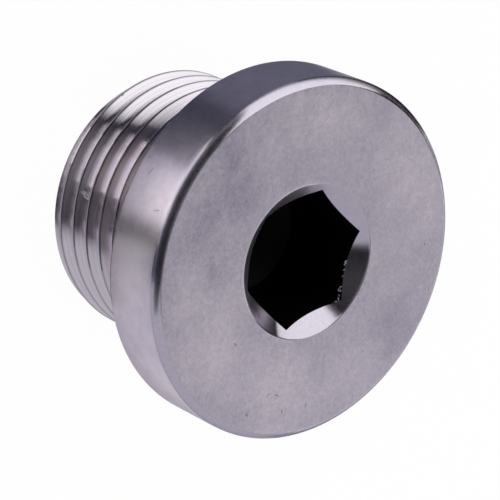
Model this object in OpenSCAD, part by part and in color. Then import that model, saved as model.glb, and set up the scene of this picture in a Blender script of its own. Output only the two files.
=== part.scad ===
// Collared screw plug for an oil drain, turned in one piece from steel bar.
// It stands on its threaded end with the head up. The origin is the middle of the
// end face, and +Z runs along the axis to the head.

/* [Head] */
// Diameter of the collar that seals against the housing, mm
flange_d = 24; // [22:0.5:30]
// Thickness of the collar, mm
flange_h = 5; // [3.5:0.25:7]
// Radius on the collar's front edge, mm
rim_round = 0.45; // [0.2:0.05:1]
// Width of the small chamfer on the collar's back edge, mm
back_edge = 0.25; // [0.1:0.05:0.6]

/* [Socket] */
// Width of the hexagon socket across its flats, mm
socket_af = 8.1; // [6:0.1:9]
// Depth of the full hexagon below the head face, mm
socket_depth = 6; // [4:0.25:8]
// How far the countersink reaches past the hexagon's corners, mm
sink_over = 0.48; // [0.2:0.02:1]
// Angle of the countersink, measured from the head face, degrees
sink_angle = 38; // [30:1:45]
// Metal that the broach took from each flat of the drilled hole, mm
broach_cut = 0.05; // [0.02:0.01:0.3]
// Depth of the drilled hole's wall below the hexagon, room for chips, mm
chip_room = 0.8; // [0.2:0.1:2]
// Full angle of the drilled hole's point, degrees
point_angle = 118; // [90:1:140]

/* [Shank] */
// Length from the collar's back face to the end face, mm
shank_h = 12; // [10:0.5:20]
// How far the lead chamfer goes below the thread's root at the end face, mm
lead_drop = 0.45; // [0.1:0.05:1]
// Angle of the lead chamfer, from the axis, degrees
lead_angle = 45; // [30:5:60]

/* [Thread] */
// Outer diameter of the thread, mm
thread_d = 17.94; // [16:0.02:20]
// Distance between turns, mm
pitch = 1.5; // [1:0.25:2]
// Angle at which one crest is measured, seen from the head, degrees
crest_angle = 243.4; // [0:0.2:360]
// Height of that crest above the end face, mm
crest_height = 2; // [0:0.1:3]
// Sides that make up one turn of the thread
turn_sides = 60; // [24:4:96]

/* [Relief] */
// Length of the neck's bottom with its inside corner, mm
neck_h = 2.2; // [1.5:0.1:4]
// How far the neck lies below the thread's root, mm
neck_drop = 0.2; // [0.1:0.05:0.6]
// Angle of the neck's slope on the thread's side, from the axis, degrees
neck_slope = 45; // [30:5:60]
// Width of the gap that keeps a washer's hole off the neck's inside corner, mm
seat_clear = 0.08; // [0.02:0.02:0.3]

/* [Hidden] */
$fn = 96;

// A 60 degree thread, 0.6134 of the pitch deep, with a crest an eighth of the pitch
// wide.
thread_r = thread_d / 2;
thread_depth = 0.6134 * pitch;
root_r = thread_r - thread_depth;
crest_half = pitch / 16;
flank_h = thread_depth * tan(30);

flange_r = flange_d / 2;
total_h = shank_h + flange_h;
lead_r = root_r - lead_drop;
neck_r = root_r - neck_drop;
thread_top = shank_h - neck_h;
// The flat seat under the collar starts outside the thread, so that a washer that
// passes the thread lies flat on it.
neck_round = thread_r + seat_clear - neck_r;

corner_r = socket_af / 2 / cos(30);
sink_r = corner_r + sink_over;
sink_depth = sink_r * tan(sink_angle);
hexagon_end = total_h - socket_depth;
pilot_r = socket_af / 2 - broach_cut;
pilot_end = hexagon_end - chip_room;
point_h = pilot_r / tan(point_angle / 2);

// How far a piece or a cutter reaches past the surface that it leaves by.
over = 0.5;

plug();

// The turned steel with its hexagon socket cut.
module plug() {
    color([0.66, 0.65, 0.68])
    difference() {
        union() {
            threaded_shank();
            collar_and_neck();
        }
        socket();
    }
}

// The collar and the relief neck, down into the top of the shank.
module collar_and_neck() {
    rotate_extrude() {
        difference() {
            polygon([
                [0, thread_top - over], [neck_r, thread_top - over], [neck_r, shank_h],
                [flange_r - back_edge, shank_h], [flange_r, shank_h + back_edge],
                [flange_r, total_h], [0, total_h]
            ]);
            rim_waste();
        }
        neck_corner();
    }
}

// What rounding the collar's front edge takes off.
module rim_waste() {
    centre = [flange_r - rim_round, total_h - rim_round];
    difference() {
        translate(centre) square(rim_round + over);
        translate(centre) circle(r = rim_round);
    }
}

// The rounded inside corner between neck and collar.
module neck_corner() {
    difference() {
        translate([neck_r - over, shank_h - neck_round]) square(neck_round + over);
        translate([neck_r + neck_round, shank_h - neck_round]) circle(r = neck_round);
    }
}

// The shank with its right-handed thread. Each side of a turn has one upright section,
// whose corners climb by a pitch in a turn, so the last section meets the first a turn
// further up. Corners below the end face or above the top are held there.
module threaded_shank() {
    corners = [
        [thread_r, -crest_half], [thread_r, crest_half],
        [root_r, crest_half + flank_h], [root_r, pitch - crest_half - flank_h]
    ];
    turns = ceil(thread_top / pitch) + 2;
    per_side = turns * len(corners);
    // Height of the lowest crest on the first side, between one and two turns down.
    climb = (crest_height - pitch * crest_angle / 360) / pitch;
    first_crest = (climb - floor(climb) - 2) * pitch;
    // Corners closer than this to an end are held at it, which leaves no slivers.
    hold = pitch / turn_sides / 2;

    function height(i, j) =
        let (z = first_crest + floor(j / 4) * pitch + corners[j % 4][1] + i * pitch / turn_sides)
            z < hold ? 0 : z > thread_top - hold ? thread_top : z;
    function radius(j, z) = min(
        corners[j % 4][0], lead_r + z * tan(lead_angle), root_r + (thread_top - z) * tan(neck_slope)
    );
    function point(i, j) =
        let (z = height(i, j), r = radius(j, z), turn = i * 360 / turn_sides)
            [r * cos(turn), r * sin(turn), z];
    // Number of a corner's point: held corners share one, and the last side is the first.
    function number(i, j) =
        i == turn_sides ? number(0, min(j + 4, per_side - 1)) :
        let (z = height(i, j))
            i * per_side + (z == 0 ? 0 : z == thread_top ? per_side - 1 : j);

    points = [for (i = [0:turn_sides - 1], j = [0:per_side - 1]) point(i, j)];
    faces = [
        for (i = [0:turn_sides - 1], j = [0:per_side - 2])
            let (a = number(i, j), b = number(i + 1, j), c = number(i + 1, j + 1), d = number(i, j + 1))
                each [if (c != b) [a, c, b], if (a != d) [a, d, c]]
    ];
    end_face = [for (i = [0:turn_sides - 1]) number(i, 0)];
    top_face = [for (i = [turn_sides - 1:-1:0]) number(i, per_side - 1)];
    polyhedron(points, concat(faces, [end_face, top_face]));
}

// Countersink, broached hexagon and the drilled hole under it.
module socket() {
    translate([0, 0, total_h - sink_depth]) cylinder(h = 2 * sink_depth, r1 = 0, r2 = 2 * sink_r);
    translate([0, 0, hexagon_end]) cylinder(h = socket_depth + over, r = corner_r, $fn = 6);
    translate([0, 0, pilot_end]) cylinder(h = total_h - pilot_end, r = pilot_r);
    translate([0, 0, pilot_end - point_h]) cylinder(h = point_h, r1 = 0, r2 = pilot_r);
}
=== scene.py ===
# %% [markdown]
# # A collared drain plug in turned steel
# The real plug is one piece of steel bar. It is turned to a collar and a shank, the
# shank is threaded, and a hexagon is pushed into the head with a broach. The CAD model
# gives its sizes. Here the same plug is made again with a finer mesh, because bright
# steel shows every flat facet as a broken reflection.

# %% Load the frame
import math

import bpy
from mathutils import Matrix, Vector


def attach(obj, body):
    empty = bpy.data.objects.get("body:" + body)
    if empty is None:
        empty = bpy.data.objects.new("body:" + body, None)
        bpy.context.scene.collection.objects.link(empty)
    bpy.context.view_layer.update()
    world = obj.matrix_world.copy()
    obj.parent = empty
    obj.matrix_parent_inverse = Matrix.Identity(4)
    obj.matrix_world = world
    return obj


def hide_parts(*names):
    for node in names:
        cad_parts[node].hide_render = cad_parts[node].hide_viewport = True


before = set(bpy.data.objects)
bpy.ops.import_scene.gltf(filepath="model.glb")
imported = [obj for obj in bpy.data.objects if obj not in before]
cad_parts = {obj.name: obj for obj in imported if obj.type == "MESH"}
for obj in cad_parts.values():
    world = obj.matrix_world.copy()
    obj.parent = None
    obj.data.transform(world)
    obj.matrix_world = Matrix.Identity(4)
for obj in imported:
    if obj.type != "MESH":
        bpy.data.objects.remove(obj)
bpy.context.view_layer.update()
MM = 0.001

# %% [markdown]
# ## Sizes
# All sizes are millimetres and degrees, as on the turner's drawing, and repeat those of
# the CAD source, apart from the shoulder: there the neck's slope ends a little below
# the thread's root. The plug stands on its threaded end, its axis is Z, and a corner
# of the hexagon points along +X.

# %% Sizes from the drawing
COLLAR_R = 12.0
RIM_ROUND = 0.45
BACK_EDGE = 0.25
SHANK_H = 12.0
TOTAL_H = 17.0

THREAD_R = 8.97
PITCH = 1.5
THREAD_DEPTH = 0.6134 * PITCH
FLANK_ANGLE = 30
CREST_ANGLE = 243.4
CREST_HEIGHT = 2.0
LEAD_DROP = 0.45
ROOT_R = THREAD_R - THREAD_DEPTH
CREST_HALF = PITCH / 16
FLANK_H = (THREAD_R - ROOT_R) * math.tan(math.radians(FLANK_ANGLE))
LEAD_R = ROOT_R - LEAD_DROP

NECK_DROP = 0.2
NECK_H = 2.2
SEAT_CLEAR = 0.08
SHOULDER_DROP = 0.07
NECK_R = ROOT_R - NECK_DROP
THREAD_TOP = SHANK_H - NECK_H
NECK_ROUND = THREAD_R + SEAT_CLEAR - NECK_R
SHOULDER_R = ROOT_R - SHOULDER_DROP

HEX_FLATS = 8.1
HEX_DEPTH = 6
SINK_OVER = 0.48
SINK_ANGLE = 38
BROACH_CUT = 0.05
CHIP_ROOM = 0.8
POINT_ANGLE = 118
HEX_CORNER_R = HEX_FLATS / 2 / math.cos(math.radians(30))
HEX_END = TOTAL_H - HEX_DEPTH
SINK_R = HEX_CORNER_R + SINK_OVER
SINK_SLOPE = math.tan(math.radians(SINK_ANGLE))
DRILL_R = HEX_FLATS / 2 - BROACH_CUT
DRILL_END = HEX_END - CHIP_ROOM
DRILL_TIP = DRILL_END - DRILL_R / math.tan(math.radians(POINT_ANGLE / 2))
print(f"thread root {ROOT_R:.3f} mm, neck {NECK_R:.3f} mm, countersink {SINK_R:.3f} mm")

# %% [markdown]
# ## Camera
# The camera stands where the picture's was: in front of the head, 42 degrees off the
# axis, and turned on its side, so that the plug's axis runs from the lower right to
# the upper left. A long lens gives the nearly parallel view of a small object. The
# numbers come from fitting the head's circles and the thread's turns to the picture.

# %% Camera
CAMERA_AT = Vector((-25.076, -111.976, 138.689)) * MM
SIGHT = Vector((0.15103, 0.65264, -0.74247))
PICTURE_UP = Vector((-0.95767, -0.08960, -0.27357))
LENS = 189.715

back = -SIGHT.normalized()
right = PICTURE_UP.cross(back).normalized()
turned = Matrix((right, back.cross(right), back)).transposed()
bpy.ops.object.camera_add()
camera = bpy.context.object
camera.name = "camera"
camera.matrix_world = Matrix.Translation(CAMERA_AT) @ turned.to_4x4()
camera.data.lens = LENS
camera.data.sensor_width = 36
camera.data.clip_start = 0.01
camera.data.clip_end = 5
bpy.context.scene.camera = camera
print("camera stands", round(CAMERA_AT.length / MM), "mm from the plug's end face")

# %% [markdown]
# ## Turning from a half section
# A turner thinks in half sections, and Blender's Spin does what the lathe does. So the
# section is drawn first, as a line of corners pulled out one after the other, then its
# corners are rounded, and then it is spun round the axis.

# %% Draw, round and turn a section
def select_nothing():
    if bpy.context.object and bpy.context.object.mode != "OBJECT":
        bpy.ops.object.mode_set(mode="OBJECT")
    bpy.ops.object.select_all(action="DESELECT")


def work_on(piece):
    select_nothing()
    piece.select_set(True)
    bpy.context.view_layer.objects.active = piece


def place(r, z):
    return Vector((r * MM, 0, z * MM))


def draw_section(name, corners):
    select_nothing()
    bpy.ops.mesh.primitive_plane_add(size=MM)
    piece = bpy.context.object
    piece.name = name
    bpy.ops.object.mode_set(mode="EDIT")
    bpy.ops.mesh.select_mode(type="VERT")
    bpy.ops.mesh.merge(type="CENTER")
    bpy.ops.transform.translate(value=place(*corners[0]))
    for here, there in zip(corners, corners[1:]):
        step = place(*there) - place(*here)
        bpy.ops.mesh.extrude_region_move(TRANSFORM_OT_translate={"value": step})
    bpy.ops.object.mode_set(mode="OBJECT")
    return piece


def round_corner(piece, corner, radius, steps, fullness=0.5):
    work_on(piece)
    mesh = piece.data
    for group in (mesh.vertices, mesh.edges, mesh.polygons):
        group.foreach_set("select", [False] * len(group))
    min(mesh.vertices, key=lambda v: (v.co - place(*corner)).length).select = True
    bpy.ops.object.mode_set(mode="EDIT")
    bpy.ops.mesh.select_mode(type="VERT")
    bpy.ops.mesh.bevel(offset=radius * MM, segments=steps, affect="VERTICES", profile=fullness)
    bpy.ops.object.mode_set(mode="OBJECT")


def tidy_mesh(piece):
    work_on(piece)
    bpy.ops.object.mode_set(mode="EDIT")
    bpy.ops.mesh.select_all(action="SELECT")
    bpy.ops.mesh.remove_doubles(threshold=0.0005 * MM)
    bpy.ops.mesh.normals_make_consistent(inside=False)
    bpy.ops.object.mode_set(mode="OBJECT")


def turn(piece, steps):
    work_on(piece)
    bpy.ops.object.mode_set(mode="EDIT")
    bpy.ops.mesh.select_all(action="SELECT")
    bpy.ops.mesh.spin(steps=steps, angle=math.tau, center=(0, 0, 0), axis=(0, 0, 1))
    bpy.ops.object.mode_set(mode="OBJECT")
    tidy_mesh(piece)


def say(piece):
    counts = {}
    for face in piece.data.polygons:
        for edge in face.edge_keys:
            counts[edge] = counts.get(edge, 0) + 1
    open_edges = sum(n != 2 for n in counts.values())
    print(f"{piece.name}: {len(piece.data.polygons)} faces, {open_edges} open edges")


# %% [markdown]
# ## Head, collar and neck
# The section runs from the drilled point up the wall of the socket, over the face and
# the rim, and down the collar and the neck to the shoulder where the thread starts.
# The rim has a soft radius that draws a bright line round the collar. The barrel wore
# its middle a little flatter than a true radius, by less than 0.07 mm, and eased the
# side in by a few hundredths below it, which widens the bright line downwards. A guard
# corner beside each rounded edge keeps the flat next to it flat in the shading.

# %% Turn the head
SIDES = 360
GUARD = 0.06
SINK_GUARD = 0.1
SINK_ROUND = 0.04
BACK_ROUND = 0.05
RIM_SPARE = 0.05
RIM_FULLNESS = 0.33
# How far the side has been worn inward, at some distances below the face.
EASED = [(0.045, 0.0), (0.012, 0.51), (0.005, 0.66), (0.0, 0.82)]
head = draw_section("head", [
    (0, DRILL_TIP), (DRILL_R, DRILL_END),
    (DRILL_R, TOTAL_H - (SINK_R - DRILL_R) * SINK_SLOPE),
    (SINK_R - SINK_GUARD, TOTAL_H - SINK_GUARD * SINK_SLOPE), (SINK_R, TOTAL_H),
    (SINK_R + SINK_GUARD, TOTAL_H), (COLLAR_R - RIM_ROUND - GUARD - RIM_SPARE, TOTAL_H),
    *[(COLLAR_R - inward, TOTAL_H - down) for inward, down in EASED],
    (COLLAR_R, SHANK_H + BACK_EDGE + BACK_ROUND + GUARD), (COLLAR_R, SHANK_H + BACK_EDGE),
    (COLLAR_R - BACK_EDGE, SHANK_H), (NECK_R + NECK_ROUND + GUARD, SHANK_H),
    (NECK_R, SHANK_H), (NECK_R, THREAD_TOP), (SHOULDER_R, THREAD_TOP),
])
round_corner(head, (NECK_R, SHANK_H), NECK_ROUND, 12)
round_corner(head, (COLLAR_R - BACK_EDGE, SHANK_H), BACK_ROUND, 2)
round_corner(head, (COLLAR_R, SHANK_H + BACK_EDGE), BACK_ROUND, 2)
round_corner(head, (COLLAR_R - EASED[0][0], TOTAL_H), RIM_ROUND, 12, RIM_FULLNESS)
round_corner(head, (SINK_R, TOTAL_H), SINK_ROUND, 2)
turn(head, SIDES)
say(head)

# %% [markdown]
# ## Thread
# A thread is one pitch of its section carried up a spiral, and the Screw modifier does
# just that. The root's corners have a small round, as a tool's tip leaves it, and those
# of the narrow flat crest a smaller one. The sweep runs past both ends of the shank and
# is closed there, so that it can be cut to length.

# %% Sweep the thread
first_crest = (CREST_HEIGHT - PITCH * CREST_ANGLE / 360) % PITCH - 2 * PITCH
foot, tip = first_crest - CREST_HALF - FLANK_H, first_crest - CREST_HALF
tip_end, foot_end = first_crest + CREST_HALF, first_crest + CREST_HALF + FLANK_H
half_root = (PITCH - foot_end + foot) / 2
ROOT_ROUND = 0.12
TIP_ROUND = 0.025
CORNER_GAP = 0.02
THREAD_TURNS = 9
THREAD_STEPS = 240


def along(start, end, distance):
    share = distance / math.dist(start, end)
    return tuple(a + (b - a) * share for a, b in zip(start, end))


corners = [(ROOT_R, foot), (THREAD_R, tip), (THREAD_R, tip_end), (ROOT_R, foot_end)]
thread = draw_section("thread", [
    (ROOT_R, foot - half_root), corners[0],
    along(corners[0], corners[1], ROOT_ROUND + CORNER_GAP),
    along(corners[1], corners[0], TIP_ROUND + CORNER_GAP), corners[1],
    corners[2], along(corners[2], corners[3], TIP_ROUND + CORNER_GAP),
    along(corners[3], corners[2], ROOT_ROUND + CORNER_GAP), corners[3],
    (ROOT_R, foot_end + half_root),
])
rounds = [(ROOT_ROUND, 4), (TIP_ROUND, 2), (TIP_ROUND, 2), (ROOT_ROUND, 4)]
for corner, (radius, steps) in zip(corners, rounds):
    round_corner(thread, corner, radius, steps)

work_on(thread)
screw = thread.modifiers.new("screw", "SCREW")
screw.angle = math.tau
screw.screw_offset = PITCH * MM
screw.iterations = THREAD_TURNS
screw.steps = THREAD_STEPS
screw.render_steps = THREAD_STEPS
bpy.ops.object.modifier_apply(modifier=screw.name)
tidy_mesh(thread)

work_on(thread)
bpy.ops.object.mode_set(mode="EDIT")
bpy.ops.mesh.select_mode(type="EDGE")
bpy.ops.mesh.select_all(action="DESELECT")
bpy.ops.mesh.select_non_manifold(
    extend=False, use_wire=False, use_boundary=True, use_multi_face=False,
    use_non_contiguous=False, use_verts=False)
bpy.ops.mesh.extrude_edges_move()
bpy.ops.mesh.merge(type="COLLAPSE")
bpy.ops.object.mode_set(mode="OBJECT")
tidy_mesh(thread)
say(thread)

# %% [markdown]
# ## Cutting the shank to length
# On the lathe the bar's end is faced and chamfered before the thread is cut, so the
# thread runs out on the chamfer. Here the finished outside is turned as one more body,
# and a Boolean keeps what lies in both. Its open top then meets the head's shoulder
# vertex for vertex.

# %% Face and chamfer the shank
def combine(piece, tool, operation):
    work_on(piece)
    cut = piece.modifiers.new("cut", "BOOLEAN")
    cut.operation = operation
    cut.solver = "EXACT"
    cut.object = tool
    bpy.ops.object.modifier_apply(modifier=cut.name)
    select_nothing()
    tool.select_set(True)
    bpy.ops.object.delete()


def select_faces(piece, wanted):
    work_on(piece)
    bpy.ops.object.mode_set(mode="EDIT")
    bpy.ops.mesh.select_mode(type="FACE")
    bpy.ops.mesh.select_all(action="DESELECT")
    bpy.ops.object.mode_set(mode="OBJECT")
    for face in piece.data.polygons:
        x, y, z = face.center / MM
        face.select = wanted(math.hypot(x, y), z, face.normal)


OUTSIDE_R = THREAD_R + 0.5
TINY = 0.001
UPRIGHT = 0.99
blank = draw_section("blank", [
    (0, 0), (LEAD_R, 0), (OUTSIDE_R, OUTSIDE_R - LEAD_R),
    (OUTSIDE_R, THREAD_TOP - OUTSIDE_R + SHOULDER_R), (SHOULDER_R, THREAD_TOP),
    (0, THREAD_TOP),
])
turn(blank, SIDES)
combine(thread, blank, "INTERSECT")
select_faces(thread, lambda r, z, normal: z > THREAD_TOP - TINY and normal.z > UPRIGHT)
bpy.ops.object.mode_set(mode="EDIT")
bpy.ops.mesh.delete(type="FACE")
bpy.ops.object.mode_set(mode="OBJECT")
say(thread)

# %% Join shank and head
work_on(head)
thread.select_set(True)
bpy.ops.object.join()
plug = head
plug.name = "turned_plug"
tidy_mesh(plug)
say(plug)

# %% [markdown]
# ## Hexagon socket
# A broach with six sides is pushed into the drilled hole and shaves off what the drill
# left. A six-sided prism with one corner on +X does the same here.

# %% Broach the hexagon
select_nothing()
BROACH_END = TOTAL_H + 1
SMOOTH_BELOW = 25
bpy.ops.mesh.primitive_cylinder_add(
    vertices=6, radius=HEX_CORNER_R * MM, depth=(BROACH_END - HEX_END) * MM,
    location=(0, 0, (BROACH_END + HEX_END) / 2 * MM), rotation=(0, 0, math.radians(30)))
broach = bpy.context.object
bpy.ops.object.transform_apply(location=True, rotation=True, scale=True)
combine(plug, broach, "DIFFERENCE")
work_on(plug)
bpy.ops.object.shade_smooth_by_angle(angle=math.radians(SMOOTH_BELOW))
say(plug)

# %% [markdown]
# ## Writing materials as sums
# A metal's look is in its small differences: where it is rougher, where the tool left
# lines, where it is scratched. They are worked out by shader nodes from the place on
# the plug. The classes below let those sums be written as plain expressions, and each
# sum adds its own node.

# %% Numbers, nodes and paint
class Number:
    """A value that a node gives out."""

    def __init__(self, nodes, socket):
        self.nodes = nodes
        self.socket = socket

    def maths(self, operation, *others):
        return self.nodes.node("ShaderNodeMath", {"operation": operation}, self, *others)

    def __add__(self, other):
        return self.maths("ADD", other)

    def __sub__(self, other):
        return self.maths("SUBTRACT", other)

    def __mul__(self, other):
        return self.maths("MULTIPLY", other)

    def __truediv__(self, other):
        return self.maths("DIVIDE", other)

    def __rsub__(self, other):
        return self.nodes.node("ShaderNodeMath", {"operation": "SUBTRACT"}, other, self)

    __radd__ = __add__

    def between(self, low, high):
        """0 below low, 1 above high and a soft step between them."""
        return self.nodes.node(
            "ShaderNodeMapRange", {"interpolation_type": "SMOOTHSTEP"}, self, low, high)


class Nodes:
    """One node tree. Each node is added by the same method."""

    def __init__(self, tree):
        self.tree = tree

    def node(self, kind, settings, *values, out=0, **named):
        node = self.tree.nodes.new(kind)
        for setting, value in settings.items():
            setattr(node, setting, value)
        for key, value in [*enumerate(values), *named.items()]:
            self.join(value, node.inputs[key])
        return Number(self, node.outputs[out])

    def join(self, value, socket):
        if isinstance(value, Number):
            self.tree.links.new(value.socket, socket)
        else:
            socket.default_value = value

    def vector_maths(self, operation, *values, out="Vector"):
        return self.node("ShaderNodeVectorMath", {"operation": operation}, *values, out=out)

    def mix(self, factor, dark, light):
        node = self.node("ShaderNodeMix", {"data_type": "RGBA"}, factor, out=2).socket.node
        self.join(dark, node.inputs[6])
        self.join(light, node.inputs[7])
        return Number(self, node.outputs[2])


class Paint(Nodes):
    """A metal's material, with the places and patterns that its sums need."""

    def __init__(self, name):
        self.material = bpy.data.materials.new(name)
        self.material.use_nodes = True
        super().__init__(self.material.node_tree)
        self.shader = self.tree.nodes["Principled BSDF"]
        self.shader.inputs["Metallic"].default_value = 1
        place = self.node("ShaderNodeTexCoord", {}, out="Object")
        self.mm = self.node("ShaderNodeVectorMath", {"operation": "SCALE"}, place, Scale=1 / MM)
        split = self.node("ShaderNodeSeparateXYZ", {}, self.mm).socket.node
        self.x, self.y, self.z = (Number(self, out) for out in split.outputs)
        flat = self.node("ShaderNodeCombineXYZ", {}, self.x, self.y)
        self.radius = self.vector_maths("LENGTH", flat, out="Value")

    def along(self, x, y, z):
        """The place with each direction stretched by its own amount."""
        return self.vector_maths("MULTIPLY", self.mm, (x, y, z))

    def cloud(self, size, detail=3.0, rough=0.55, where=None, twist=0.0):
        """Soft random patches about size millimetres across, from 0 to 1."""
        return self.node("ShaderNodeTexNoise", {}, Vector=where or self.mm, Scale=1 / size,
                         Detail=detail, Roughness=rough, Distortion=twist, out="Fac")

    def rings(self, size, along):
        """Random lines about size millimetres apart, as a lathe tool leaves them."""
        return self.cloud(size, 2, where=self.node("ShaderNodeCombineXYZ", {}, along))

    def patch(self, centre, size):
        """A ragged patch: 1 in its middle and 0 from about size millimetres on."""
        off = self.vector_maths("DISTANCE", self.mm, centre, out="Value") / size
        return 1 - (off + (self.cloud(size / 3) - 0.5) * 1.2).between(0.1, 1.0)

    def mark(self, start, end, width):
        """A thin mark: 1 in the middle of its line and 0 from width millimetres on."""
        start, end = Vector(start), Vector(end)
        off = self.vector_maths("SUBTRACT", self.mm, (start + end) / 2)
        ahead = self.vector_maths("DOT_PRODUCT", off, (end - start).normalized(), out="Value")
        beside = self.vector_maths("DOT_PRODUCT", off, off, out="Value") - ahead * ahead
        reach = (end - start).length / 2
        return (1 - ahead * ahead / reach ** 2 - beside / width ** 2).between(0.0, 0.8)

    def bump(self, height, depth, under=None):
        """Tilts the surface as if height, from 0 to 1, stood depth millimetres high."""
        more = {"Normal": under} if under else {}
        return self.node(
            "ShaderNodeBump", {}, Height=height, Distance=depth * MM, Strength=1.0, **more)

    def brushed(self, amount):
        """Fine lines run round the axis, so reflections smear across them."""
        self.shader.inputs["Anisotropic"].default_value = amount
        self.shader.inputs["Anisotropic Rotation"].default_value = 0.25

    def finish(self, colour, roughness, normal=None):
        self.join(colour, self.shader.inputs["Base Color"])
        self.join(roughness, self.shader.inputs["Roughness"])
        if normal:
            self.join(normal, self.shader.inputs["Normal"])
        return self.material


# %% [markdown]
# ## Satin face
# The plugs are tumbled together in a barrel, which leaves the face satin, with soft
# darker and lighter areas, a fine grain and a few small nicks. The large areas and the
# nicks stand where the picture shows them, and noise gives the rest.

# %% Satin face
def on_the_face(x, y):
    return (x, y, TOTAL_H)


def satin_face():
    paint = Paint("satin_face")
    grain = paint.cloud(0.28, 4, 0.7, twist=0.8).between(0.3, 0.7)
    areas = paint.cloud(2.4, 4, 0.6).between(0.32, 0.68)
    dark = sum(paint.patch(on_the_face(*place), size) for place, size in FACE_DARK)
    light = sum(paint.patch(on_the_face(*place), size) for place, size in FACE_LIGHT)
    tone = 0.22 + areas * 0.16 + grain * 0.4 + light * 0.2 - dark * 0.22
    nicks = sum(paint.mark(on_the_face(*start), on_the_face(*end), NICK_WIDTH)
                for start, end in FACE_NICKS)
    pits = paint.cloud(0.3, 1, twist=1.5).between(0.74, 0.8)
    hurt = (nicks + pits * 0.6).maths("MINIMUM", 1.0)
    colour = paint.mix(tone, (0.51, 0.468, 0.595, 1), (1.0, 0.925, 1.0, 1))
    colour = paint.mix(hurt * 0.7, colour, (0.16, 0.145, 0.17, 1))
    fine = paint.bump(grain, 0.004)
    return paint.finish(colour, 0.37 + grain * 0.1, paint.bump(1 - hurt, 0.02, fine))


# The middle of each area on the face, and how far it reaches.
FACE_DARK = [
    ((-4.5, -7.9), 3.2), ((-1.4, -9.2), 2.6), ((-3.2, -6.0), 2.0), ((-6.2, -8.6), 2.0),
    ((1.5, -7.0), 1.6), ((3.6, 9.1), 3.2),
]
FACE_LIGHT = [
    ((9.3, 1.6), 4.5), ((6.8, 6.0), 3.5), ((7.2, -4.8), 3.5), ((-9.6, -0.5), 3.0),
    ((-8.0, 5.5), 5.0), ((8.4, -1.0), 4.5), ((6.5, -6.8), 4.0), ((3.3, -8.9), 2.6),
    ((-9.0, -3.4), 3.5), ((-5.0, 8.5), 4.0), ((3.0, -5.4), 3.0),
]
# The two ends of each nick.
NICK_WIDTH = 0.05
FACE_NICKS = [
    ((10.2, -1.95), (10.5, -1.7)), ((10.45, -2.0), (10.25, -1.7)), ((9.75, 1.0), (10.15, 1.08)),
    ((9.2, 2.95), (9.65, 2.9)), ((8.85, 0.0), (8.98, 0.5)), ((5.7, -4.4), (5.9, -4.1)),
    ((-3.9, 3.5), (-3.65, 3.6)), ((9.0, -0.6), (8.8, -0.3)), ((-2.2, 9.6), (-2.0, 9.7)),
]

# %% [markdown]
# ## Satin side of the collar
# The side is turned and then tumbled too. Turning lines run round it, and it carries
# three short scratches and a few darker and lighter areas.

# %% Satin side
def on_the_side(angle, z):
    a = math.radians(angle)
    return (COLLAR_R * math.cos(a), COLLAR_R * math.sin(a), z)


def satin_side():
    paint = Paint("satin_side")
    lines = paint.rings(0.09, paint.z)
    grain = paint.cloud(0.35, 2, 0.5)
    areas = paint.cloud(1.4, 4, 0.6).between(0.32, 0.68)
    dark = sum(paint.patch(on_the_side(*place), size) for place, size in SIDE_DARK)
    light = sum(paint.patch(on_the_side(*place), size) for place, size in SIDE_LIGHT)
    tone = 0.2 + areas * 0.3 + grain * 0.25 + lines * 0.2 + light * 0.36 - dark * 0.3
    scratches = sum(paint.mark(on_the_side(*start), on_the_side(*end), SCRATCH_WIDTH)
                    for start, end in SIDE_SCRATCHES)
    colour = paint.mix(tone, (0.68, 0.625, 0.775, 1), (1.0, 0.93, 1.0, 1))
    colour = paint.mix(scratches * 0.5, colour, (0.3, 0.29, 0.34, 1))
    fine = paint.bump(grain, 0.002)
    uneven = paint.bump(lines - scratches, 0.0015, fine)
    return paint.finish(colour, 0.27 + grain * 0.07, uneven)


# Places on the side are a direction in degrees and a height.
SCRATCH_WIDTH = 0.08
SIDE_SCRATCHES = [
    ((253.6, 13.37), (249.5, 13.63)), ((248.5, 12.6), (247.2, 12.75)),
    ((262.0, 15.2), (261.0, 15.9)),
]
SIDE_DARK = [((244.0, 15.0), 2.4), ((246.0, 13.2), 2.0)]
SIDE_LIGHT = [((263.0, 16.0), 2.4), ((278.0, 14.2), 3.4), ((289.0, 13.4), 2.8), ((318.0, 15.0), 3.2)]

# %% [markdown]
# ## Bright rim and countersink
# Both are brighter than the face, as if they were cut after the tumbling. Their tool
# lines run round the axis. They smear a reflection across the lines and
# leave its ends along the lines sharp.

# %% Bright rim and countersink
def bright_edge():
    paint = Paint("bright_edge")
    paint.brushed(0.85)
    speckle = paint.cloud(0.3, 4, 0.6)
    colour = paint.mix(speckle, (0.69, 0.64, 0.74, 1), (0.83, 0.77, 0.89, 1))
    return paint.finish(colour, 0.18 + speckle * 0.04)


def bright_cone():
    paint = Paint("bright_cone")
    paint.brushed(0.95)
    speckle = paint.cloud(0.3, 4, 0.6)
    colour = paint.mix(speckle, (0.66, 0.61, 0.70, 1), (0.80, 0.74, 0.85, 1))
    return paint.finish(colour, 0.145 + speckle * 0.03)


# %% [markdown]
# ## Thread
# The thread is the brightest part. Its lines follow the thread, so light and dark
# bands on its flanks have soft edges across the thread and sharp ends along it. The
# narrow crests are left from the bar, so they are smoother. Their darker colour is painted
# shade that draws the dark line between the turns. The start of the thread has a small dark nick.

# %% Thread
def bright_thread():
    paint = Paint("bright_thread")
    paint.brushed(1.0)
    lines = paint.rings(0.12, paint.radius).between(0.3, 0.7)
    crest = paint.radius.between(THREAD_R - 0.06, THREAD_R - 0.02)
    nick = paint.mark((-6.75, -5.95, 2.0), (-6.5, -6.15, 2.15), 0.12)
    colour = paint.mix(lines, (0.87, 0.81, 0.885, 1), (1.0, 0.945, 1.0, 1))
    # Painted shade: the crests are darkened to draw the dark line between the turns, not for their
    # own colour.
    colour = paint.mix(crest * 0.45, colour, (0.2, 0.185, 0.21, 1))
    colour = paint.mix(nick * 0.7, colour, (0.12, 0.11, 0.13, 1))
    return paint.finish(colour, 0.16 - crest * 0.07)
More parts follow.
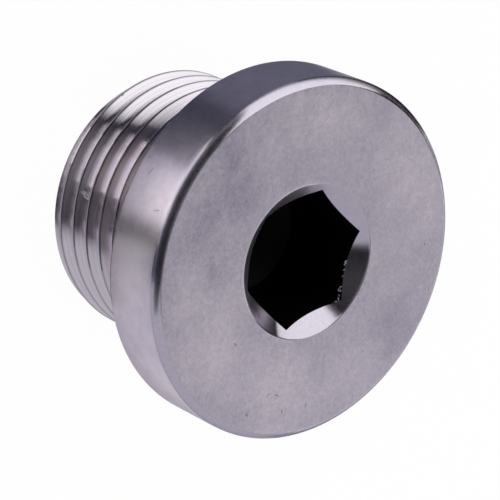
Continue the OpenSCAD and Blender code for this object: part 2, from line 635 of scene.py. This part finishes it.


# %% [markdown]
# ## Socket and neck
# The broached walls are steel like the rest. Their near-black colour is painted shade,
# for the light that does not reach into the socket. The neck under the
# collar was cut with a broad tool and has coarser lines.

# %% Socket and neck
def socket_painted_shade():
    paint = Paint("socket_painted_shade")
    strokes = paint.cloud(0.25, 3, where=paint.along(1.0, 1.0, 0.1))
    # Painted shade: the socket's steel walls are coloured near black to stand for the recess's
    # shade.
    colour = paint.mix(strokes, (0.012, 0.012, 0.014, 1), (0.02, 0.02, 0.022, 1))
    return paint.finish(colour, 0.45 + strokes * 0.15)


def torn_metal():
    paint = Paint("torn_metal")
    grain = paint.cloud(0.1, 2)
    colour = paint.mix(grain, (0.82, 0.78, 0.84, 1), (0.98, 0.94, 1.0, 1))
    return paint.finish(colour, 0.5 + grain * 0.1)


def turned_neck():
    paint = Paint("turned_neck")
    paint.brushed(0.8)
    lines = paint.rings(0.15, paint.z)
    colour = paint.mix(lines, (0.66, 0.60, 0.595, 1), (0.78, 0.715, 0.705, 1))
    return paint.finish(colour, 0.32 + lines * 0.1, paint.bump(lines, 0.002))


# %% [markdown]
# ## Which surface has which finish
# Each face of the mesh is given its material by where it lies, as the tools did on the
# real plug.

# %% Give each surface its finish
# Tolerances that tell faces apart by their middles and normals.
HAIR = 0.01
FLAT = 0.005
EDGE = 0.02
WORN = 0.02
CONE_UNDER = 1
TIP_UNDER = 0.1
FACING_UP = 0.5


def on_face(r, z, normal):
    return z > TOTAL_H - FLAT and SINK_R + SINK_ROUND < r < COLLAR_R - RIM_ROUND - EDGE


def on_side(r, z, normal):
    return r > COLLAR_R - WORN and SHANK_H + BACK_EDGE < z < TOTAL_H - RIM_ROUND


def on_cone(r, z, normal):
    return r < SINK_R + SINK_ROUND and z > TOTAL_H - CONE_UNDER and normal.z > FACING_UP


def in_socket(r, z, normal):
    inside = r < HEX_CORNER_R + HAIR and z > DRILL_TIP - TIP_UNDER
    return inside and not on_cone(r, z, normal)


def on_thread(r, z, normal):
    return z < THREAD_TOP + HAIR


def on_neck(r, z, normal):
    return THREAD_TOP <= z < SHANK_H + HAIR and r < COLLAR_R - BACK_EDGE


select_nothing()
plug.data.materials.clear()
finishes = [
    (bright_edge(), None), (satin_face(), on_face), (satin_side(), on_side),
    (bright_thread(), on_thread), (turned_neck(), on_neck), (socket_painted_shade(), in_socket),
    (bright_cone(), on_cone),
]
for number, (material, where) in enumerate(finishes):
    plug.data.materials.append(material)
    if where:
        select_faces(plug, where)
        bpy.ops.object.mode_set(mode="EDIT")
        plug.active_material_index = number
        bpy.ops.object.material_slot_assign()
        bpy.ops.object.mode_set(mode="OBJECT")
        print(material.name, sum(face.select for face in plug.data.polygons), "faces")

# %% [markdown]
# ## Burrs
# The broach pushed small curls of metal over the countersink's edge, and a few hang on
# the thread. Each curl is a small ring, tipped its own way and sunk into the edge.
# They are left as separate bodies, because on the plug they hold by a thin root too.

# %% Hang the burrs on the edges
EDGE_Z = TOTAL_H - (SINK_R - HEX_FLATS / 2) * SINK_SLOPE
WIRE = 0.32
TIPPED = (1.3, 2.1, 0.7)
# Each curl's x, y and z and the radius of its ring. The first ten lie on the
# countersink's edge and the others on the thread.
CURLS = [
    (-0.1, 4.02, EDGE_Z, 0.09), (0.1, 4.0, EDGE_Z - 0.06, 0.06), (0.42, 4.0, EDGE_Z, 0.07),
    (0.85, 4.02, EDGE_Z + 0.02, 0.06), (1.55, 4.0, EDGE_Z + 0.1, 0.07),
    (1.75, 4.0, EDGE_Z + 0.1, 0.1), (2.1, 3.98, EDGE_Z + 0.2, 0.07),
    (2.32, 3.9, EDGE_Z + 0.3, 0.1), (2.5, 3.75, EDGE_Z + 0.28, 0.08),
    (2.68, 3.62, EDGE_Z + 0.22, 0.07), (-0.05, -8.9, 4.6, 0.17), (0.08, -8.88, 4.9, 0.13),
    (-0.15, -8.9, 4.35, 0.07), (1.42, -8.55, 7.85, 0.05), (-0.14, -8.55, 8.24, 0.04),
]
burrs = []
for number, (x, y, z, size) in enumerate(CURLS):
    select_nothing()
    bpy.ops.mesh.primitive_torus_add(
        location=(x * MM, y * MM, z * MM), rotation=[number * angle for angle in TIPPED],
        major_radius=size * MM, minor_radius=size * WIRE * MM,
        major_segments=12, minor_segments=6)
    burrs.append(bpy.context.object)
select_nothing()
for burr in burrs:
    burr.select_set(True)
bpy.context.view_layer.objects.active = burrs[0]
bpy.ops.object.join()
curls = bpy.context.object
curls.name = "burrs"
bpy.ops.object.transform_apply(location=True, rotation=True, scale=True)
bpy.ops.object.shade_smooth()
curls.data.materials.append(torn_metal())
say(curls)

# %% [markdown]
# ## Handing over
# The turned plug stands in for the CAD part and rides on its frame, and the burrs ride
# with it.

# %% Hand over
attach(plug, "root")
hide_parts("plug")
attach(curls, "root")

# %% [markdown]
# ## Floor and light
# The plug stands on a plain white floor in soft light from all round. The camera and
# the metal see the white itself, while the floor still carries the plug's soft shadow.

# %% White surroundings
WHITE = (1, 1, 1, 1)
PAPER_WHITE = (0.93, 0.93, 0.93, 1)
SKY_LIGHT = 0.9
FLOOR_SEEN_WHITE = 0.97
FLOOR_METRES = 4


def white_for_eyes(nodes, plain, kind, amount):
    """Mixes plain white in for what the camera and the metal see."""
    seen = nodes.node("ShaderNodeLightPath", {}, out="Is Camera Ray")
    for ray in ("Is Glossy Ray", "Is Transmission Ray"):
        seen = seen.maths("MAXIMUM", nodes.node("ShaderNodeLightPath", {}, out=ray))
    white = nodes.node(kind, {}, Color=WHITE, Strength=1.0)
    return nodes.node("ShaderNodeMixShader", {}, seen * amount, plain, white)


world = bpy.context.scene.world or bpy.data.worlds.new("studio")
bpy.context.scene.world = world
world.use_nodes = True
nodes = Nodes(world.node_tree)
sky = nodes.node("ShaderNodeBackground", {}, Color=WHITE, Strength=SKY_LIGHT)
surface = world.node_tree.nodes["World Output"].inputs["Surface"]
nodes.join(white_for_eyes(nodes, sky, "ShaderNodeBackground", 1.0), surface)

select_nothing()
bpy.ops.mesh.primitive_plane_add(size=FLOOR_METRES)
floor = bpy.context.object
floor.name = "floor"
paper = bpy.data.materials.new("white_paper")
paper.use_nodes = True
nodes = Nodes(paper.node_tree)
shader = paper.node_tree.nodes["Principled BSDF"]
shader.inputs["Base Color"].default_value = PAPER_WHITE
shader.inputs["Roughness"].default_value = 0.9
shader.inputs["Specular IOR Level"].default_value = 0.0
surface = paper.node_tree.nodes["Material Output"].inputs["Surface"]
plain = Number(nodes, shader.outputs[0])
seen_white = white_for_eyes(nodes, plain, "ShaderNodeEmission", FLOOR_SEEN_WHITE)
nodes.join(seen_white, surface)
paper.cycles.emission_sampling = "NONE"
floor.data.materials.append(paper)
bpy.context.scene.view_settings.view_transform = "Standard"
print("floor and sky are white")

# %% [markdown]
# ## Cards
# Bright metal has no look of its own and shows what stands about it, so a photographer
# sets up black, grey and white cards. Here they hang on a wide dome round the plug or
# lie on the floor. They are seen in the metal only: the camera looks past them, and
# they neither light nor shade the floor.

# %% Cards
# A hung card covers directions round the plug and heights above the horizon, both in
# degrees. A floor card covers directions in degrees and distances in millimetres. Each
# card stands in front of those before it, or lies on them.
CARD_FAR = 700.0
CARD_GAP = 10
MAT_GAP = 0.02
CARD_STEP = 6


def card(name, turned_to, profile, wide, colour):
    flag = draw_section(name, profile)
    work_on(flag)
    bpy.ops.object.mode_set(mode="EDIT")
    bpy.ops.mesh.select_all(action="SELECT")
    bpy.ops.mesh.spin(steps=max(2, round(wide / CARD_STEP)), angle=-math.radians(wide),
                      center=(0, 0, 0), axis=(0, 0, 1))
    bpy.ops.object.mode_set(mode="OBJECT")
    flag.rotation_euler.z = math.radians(turned_to)
    look = bpy.data.materials.new(name)
    look.use_nodes = True
    nodes = Nodes(look.node_tree)
    surface = look.node_tree.nodes["Material Output"].inputs["Surface"]
    nodes.join(nodes.node("ShaderNodeEmission", {}, Color=(*colour, 1)), surface)
    look.cycles.emission_sampling = "NONE"
    flag.data.materials.append(look)
    flag.visible_camera = flag.visible_diffuse = flag.visible_shadow = False


def hung_card(name, start, end, low, high, colour, layer):
    far = CARD_FAR - CARD_GAP * layer
    steps = max(2, round((high - low) / CARD_STEP))
    rise = [math.radians(low + (high - low) * i / steps) for i in range(steps + 1)]
    profile = [(far * math.cos(a), far * math.sin(a)) for a in rise]
    card(name, start, profile, end - start, colour)


def floor_card(name, start, end, near, far, colour, layer):
    height = MAT_GAP * layer
    card(name, start, [(near, height), (far, height)], end - start, colour)


BLACK = (0.01, 0.01, 0.012)
DARK = (0.03, 0.032, 0.05)
DIM = (0.06, 0.055, 0.055)
SHADE = (0.11, 0.115, 0.15)
CEILING = (0.18, 0.18, 0.18)
GREY = (0.25, 0.25, 0.27)
MIDDLE = (0.45, 0.445, 0.48)
LIGHT = (0.62, 0.615, 0.65)
CLEAR = (1.0, 0.97, 0.99)
PAPER = (0.385, 0.363, 0.405)

HUNG = [
    # The satin face blurs a large grey card, a light one and card_back_high together.
    ("card_right", -60, 70, 0, 65, MIDDLE),
    ("card_right_low", 60, 90, 0, 45, LIGHT),
    # A white card runs along their foot.
    ("card_right_foot", 50, 105, 0, 12, CLEAR),
    # Cards behind the plug darken the lower left of the countersink.
    ("card_back_low", 105, 150, 0, 10, GREY),
    ("card_back_strip", 95, 125, 5, 50, BLACK),
    ("card_back_high", 70, 105, 50, 65, BLACK),
    # Dark cards about the lens draw the dark line round the near rim and darken the right
    # part of the countersink. With mat_left_far, those that start at 195 and 200 degrees
    # make the thread's black patches.
    ("card_front", 195, 300, 25, 70, BLACK),
    ("card_front_side", 295, 320, 30, 70, BLACK),
    ("card_front_left", 200, 225, 0, 25, BLACK),
    ("card_front_right", 270, 300, 0, 30, SHADE),
    # The rim's light line sees a white card and a light strip below them.
    ("card_front_foot", 220, 280, 0, 12, CLEAR),
    ("card_front_strip", 230, 270, 20, 25, LIGHT),
    # Grey cards stand on the left and hang overhead.
    ("card_left_grey", 195, 235, 20, 30, GREY),
    ("card_left_low", 150, 200, 0, 12, SHADE),
    ("card_top", 0, 360, 65, 90, CEILING),
]
LAID = [
    # The metal sees a grey floor where the camera sees a white one.
    ("mat_all", 0, 360, 8, 1000, PAPER),
    # The white sheet lights the thread's bands and the middle of the side.
    ("mat_front_white", 225, 270, 25, 80, CLEAR),
    ("mat_foot_white", 240, 260, 8, 12, CLEAR),
    # Dark sheets end the bands and darken the upper side.
    ("mat_front_near", 240, 315, 13, 21, BLACK),
    ("mat_front_right", 270, 295, 20, 80, DIM),
    ("mat_left", 190, 240, 12, 31, DARK),
    ("mat_left_far", 200, 225, 30, 150, BLACK),
    ("mat_left_near", 140, 205, 14, 45, SHADE),
    # A light strip lifts the lower half of the side.
    ("mat_right_light", 280, 380, 22, 27, LIGHT),
    # Far sheets stand for the dim room beyond.
    ("mat_front_far", 225, 295, 80, 1000, BLACK),
    ("mat_back_far", 110, 170, 35, 750, BLACK),
    ("mat_right_far", 40, 105, 35, 850, GREY),
]
for layer, (name, *rest) in enumerate(HUNG):
    hung_card(name, *rest, layer)
for layer, (name, *rest) in enumerate(LAID, start=1):
    floor_card(name, *rest, layer)
print(len(HUNG) + len(LAID), "cards")
